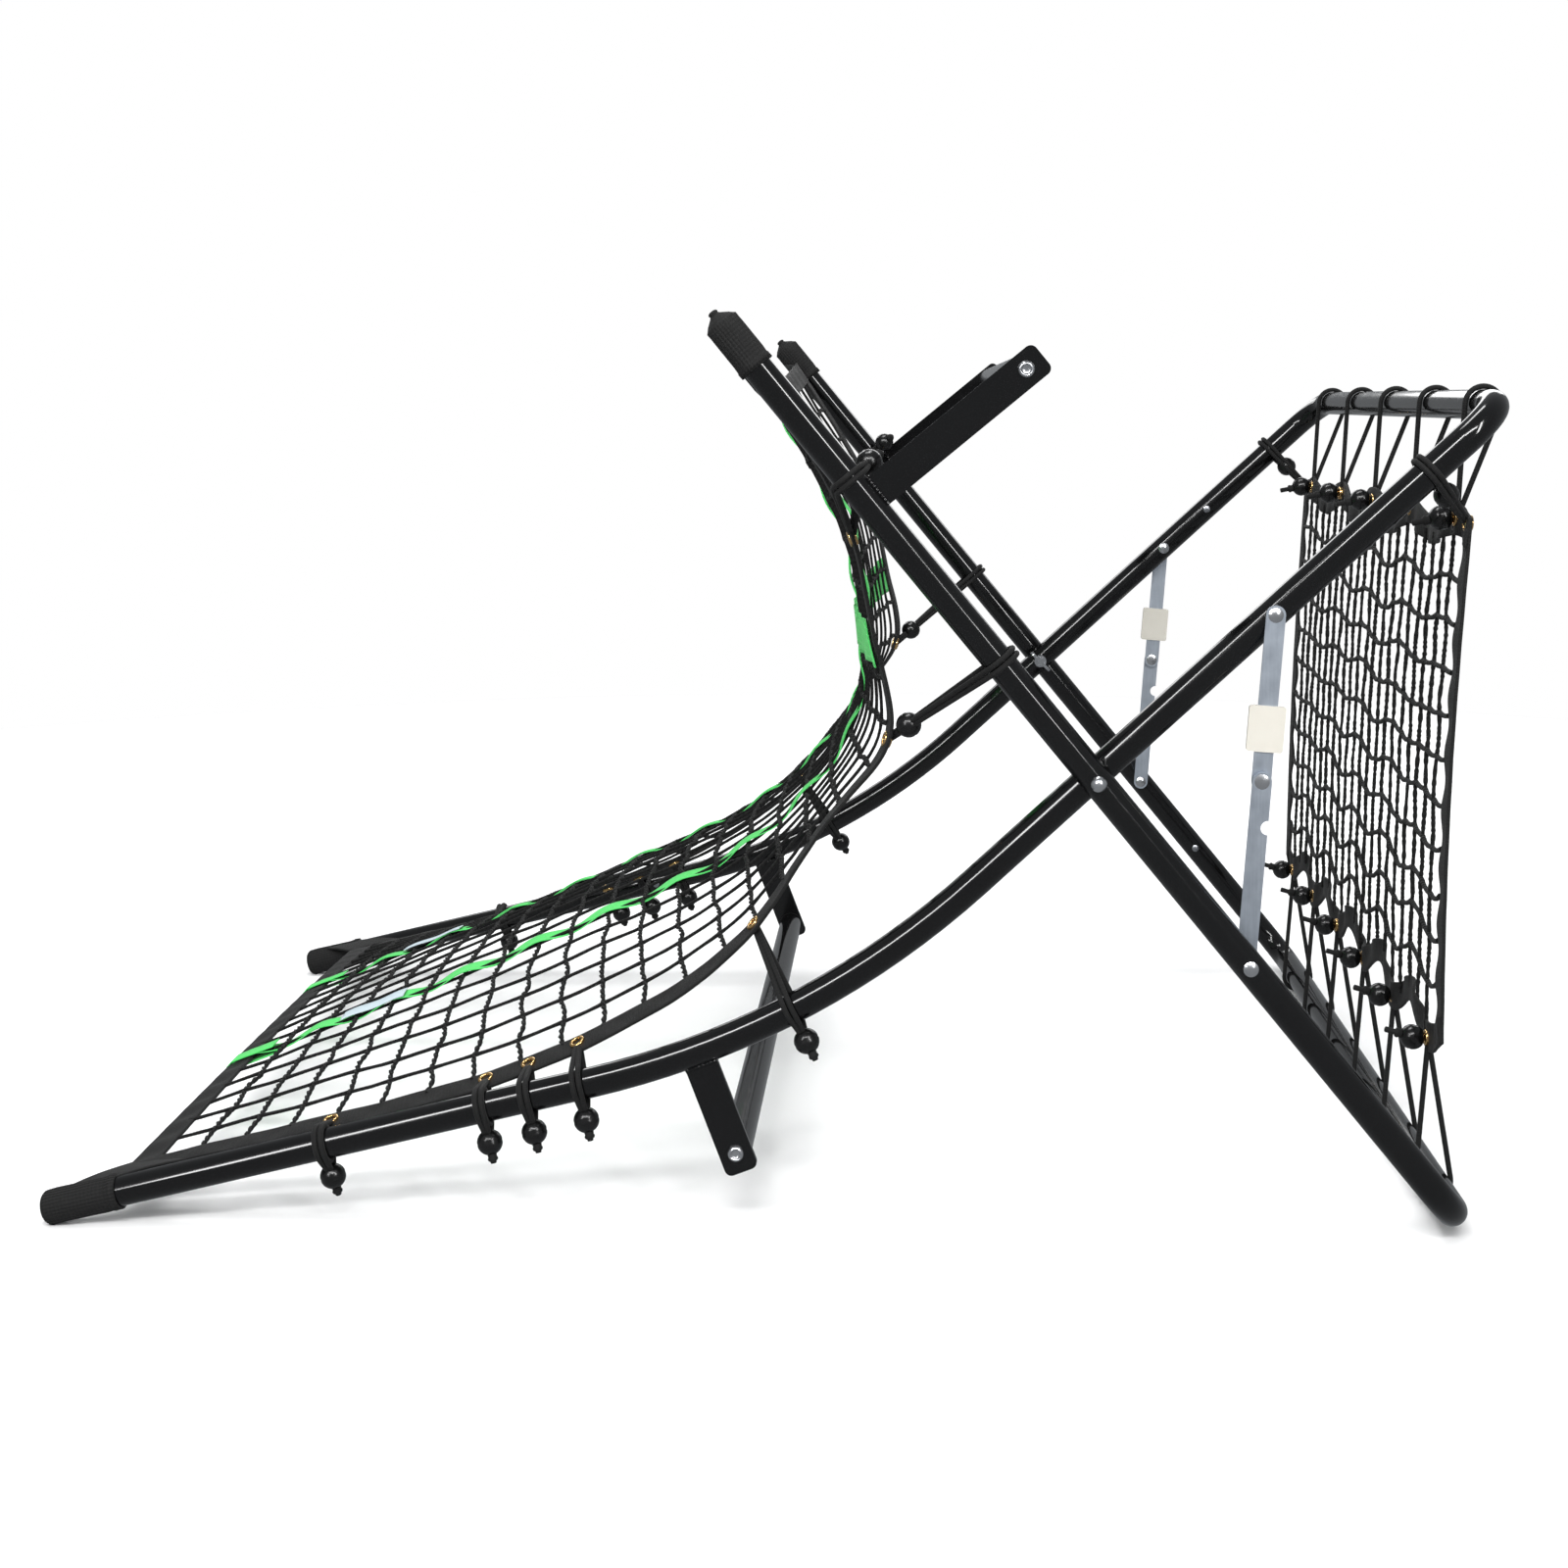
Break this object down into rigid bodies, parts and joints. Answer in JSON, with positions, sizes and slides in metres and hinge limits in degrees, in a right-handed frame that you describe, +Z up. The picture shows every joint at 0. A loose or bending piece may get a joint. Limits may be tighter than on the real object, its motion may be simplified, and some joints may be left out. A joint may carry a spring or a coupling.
{
  "type": "pitch back rebounder",
  "caption": "Folding X-frame ball rebounder with a curved ramp net in front and an upright net behind, held by bungee loops and locking side stays.",
  "frame": {"origin": "on the ground, at the bottom centre of the whole object's box", "axes": "+X from the ramp's toe to the crossbars, +Y across from the near side to the far side, +Z up"},
  "size_m": [1.2281, 0.936, 0.7624],
  "materials": {
    "frame_black": "gloss black powder coat",
    "plug_black": "moulded",
    "screw_dark": "zinc plated",
    "bolt_zinc": "bright zinc",
    "stay_zinc": "zinc plated sheet",
    "sleeve_ivory": "moulded",
    "net_black": "knotted cord mesh",
    "webbing_black": "ribbed webbing",
    "strap_green": "woven tape",
    "grommet_brass": "polished",
    "bungee_black": "braided elastic",
    "ball_black": "gloss"
  },
  "bodies": {
    "inner_frame": {"inner_u_tube": "frame_black", "inner_leg_near": "frame_black", "inner_leg_far": "frame_black", "inner_toe_tube_near": "frame_black", "inner_toe_tube_far": "frame_black", "lower_bracket_arm_near": "frame_black", "lower_bracket_arm_far": "frame_black", "lower_bracket_tube": "frame_black", "toe_plugs": "plug_black", "lower_bracket_plugs": "plug_black", "inner_joint_screws": "screw_dark", "toe_snap_buttons": "screw_dark", "pivot_bushes": "screw_dark", "pivot_bolts": "bolt_zinc", "stay_top_rivets": "bolt_zinc", "stay_top_washers": "bolt_zinc", "lower_bracket_bolts": "bolt_zinc", "ramp_net": "net_black", "rear_net": "net_black", "toe_pocket_near": "webbing_black", "toe_pocket_far": "webbing_black", "ramp_green_straps": "strap_green", "ramp_green_cross_strap": "strap_green", "ramp_grommets": "grommet_brass", "rear_grommets": "grommet_brass", "ramp_lower_bungees": "bungee_black", "rear_top_bungees": "bungee_black", "ramp_lower_balls": "ball_black", "rear_top_balls": "ball_black"},
    "outer_frame": {"outer_u_tube": "frame_black", "outer_leg_near": "frame_black", "outer_leg_far": "frame_black", "outer_joint_screws": "screw_dark", "top_plugs": "plug_black", "stay_bottom_rivets": "bolt_zinc", "stay_bottom_washers": "bolt_zinc", "upper_bracket_arm_near": "frame_black", "upper_bracket_arm_far": "frame_black", "upper_bracket_tube": "frame_black", "upper_bracket_plugs": "plug_black", "upper_bracket_bolts": "bolt_zinc", "top_pocket_near": "webbing_black", "top_pocket_far": "webbing_black", "ramp_upper_bungees": "bungee_black", "ramp_upper_balls": "ball_black", "rear_bottom_bungees": "bungee_black", "rear_bottom_balls": "ball_black"},
    "upper_link_near": {"stay_upper_link_near": "stay_zinc", "stay_mid_rivet_inner_near": "bolt_zinc"},
    "lower_link_near": {"stay_lower_link_near": "stay_zinc", "stay_mid_rivet_outer_near": "bolt_zinc"},
    "sleeve_near": {"lock_sleeve_near": "sleeve_ivory"},
    "nut_near": {"wing_nut_near": "bolt_zinc"},
    "upper_link_far": {"stay_upper_link_far": "stay_zinc", "stay_mid_rivet_inner_far": "bolt_zinc"},
    "lower_link_far": {"stay_lower_link_far": "stay_zinc", "stay_mid_rivet_outer_far": "bolt_zinc"},
    "sleeve_far": {"lock_sleeve_far": "sleeve_ivory"},
    "nut_far": {"wing_nut_far": "bolt_zinc"}
  },
  "joints": [
    {"name": "frame_fold", "type": "hinge", "parent": "inner_frame", "child": "outer_frame", "pos_m": [0.2646, 0, 0.38149], "axis": [0, -1, 0], "range_deg": [0, 86], "deforming": ["ramp_net", "ramp_grommets", "ramp_green_straps", "ramp_green_cross_strap", "rear_net", "rear_grommets", "ramp_upper_bungees", "ramp_upper_balls", "rear_top_bungees", "rear_top_balls", "rear_bottom_bungees", "rear_bottom_balls"]},
    {"name": "upper_link_swing_near", "type": "hinge", "parent": "inner_frame", "child": "upper_link_near", "pos_m": [0.40961, -0.4299, 0.51484], "axis": [0, -1, 0], "range_deg": [0, 151.8]},
    {"name": "lower_link_swing_near", "type": "hinge", "parent": "outer_frame", "child": "lower_link_near", "pos_m": [0.38774, -0.4347, 0.23158], "axis": [0, -1, 0], "range_deg": [-106.49, 0]},
    {"name": "sleeve_slide_near", "type": "slide", "parent": "upper_link_near", "child": "sleeve_near", "axis": [0.077, 0, 0.997], "range_m": [0, 0.05]},
    {"name": "wing_nut_turn_near", "type": "hinge", "parent": "inner_frame", "child": "nut_near", "pos_m": [0.2646, -0.4016, 0.38149], "axis": [0, 1, 0], "continuous": true},
    {"name": "upper_link_swing_far", "type": "hinge", "parent": "inner_frame", "child": "upper_link_far", "pos_m": [0.40961, 0.4299, 0.51484], "axis": [0, -1, 0], "range_deg": [0, 151.8]},
    {"name": "lower_link_swing_far", "type": "hinge", "parent": "outer_frame", "child": "lower_link_far", "pos_m": [0.38774, 0.4347, 0.23158], "axis": [0, -1, 0], "range_deg": [-106.49, 0]},
    {"name": "sleeve_slide_far", "type": "slide", "parent": "upper_link_far", "child": "sleeve_far", "axis": [0.077, 0, 0.997], "range_m": [0, 0.05]},
    {"name": "wing_nut_turn_far", "type": "hinge", "parent": "inner_frame", "child": "nut_far", "pos_m": [0.2646, 0.4016, 0.38149], "axis": [0, -1, 0], "continuous": true}
  ],
  "couplings": [
    {"joint": "upper_link_swing_near", "follows": "frame_fold", "ratio": 1.7592},
    {"joint": "lower_link_swing_near", "follows": "frame_fold", "ratio": -1.2324},
    {"joint": "upper_link_swing_far", "follows": "frame_fold", "ratio": 1.7592},
    {"joint": "lower_link_swing_far", "follows": "frame_fold", "ratio": -1.2324}
  ]
}
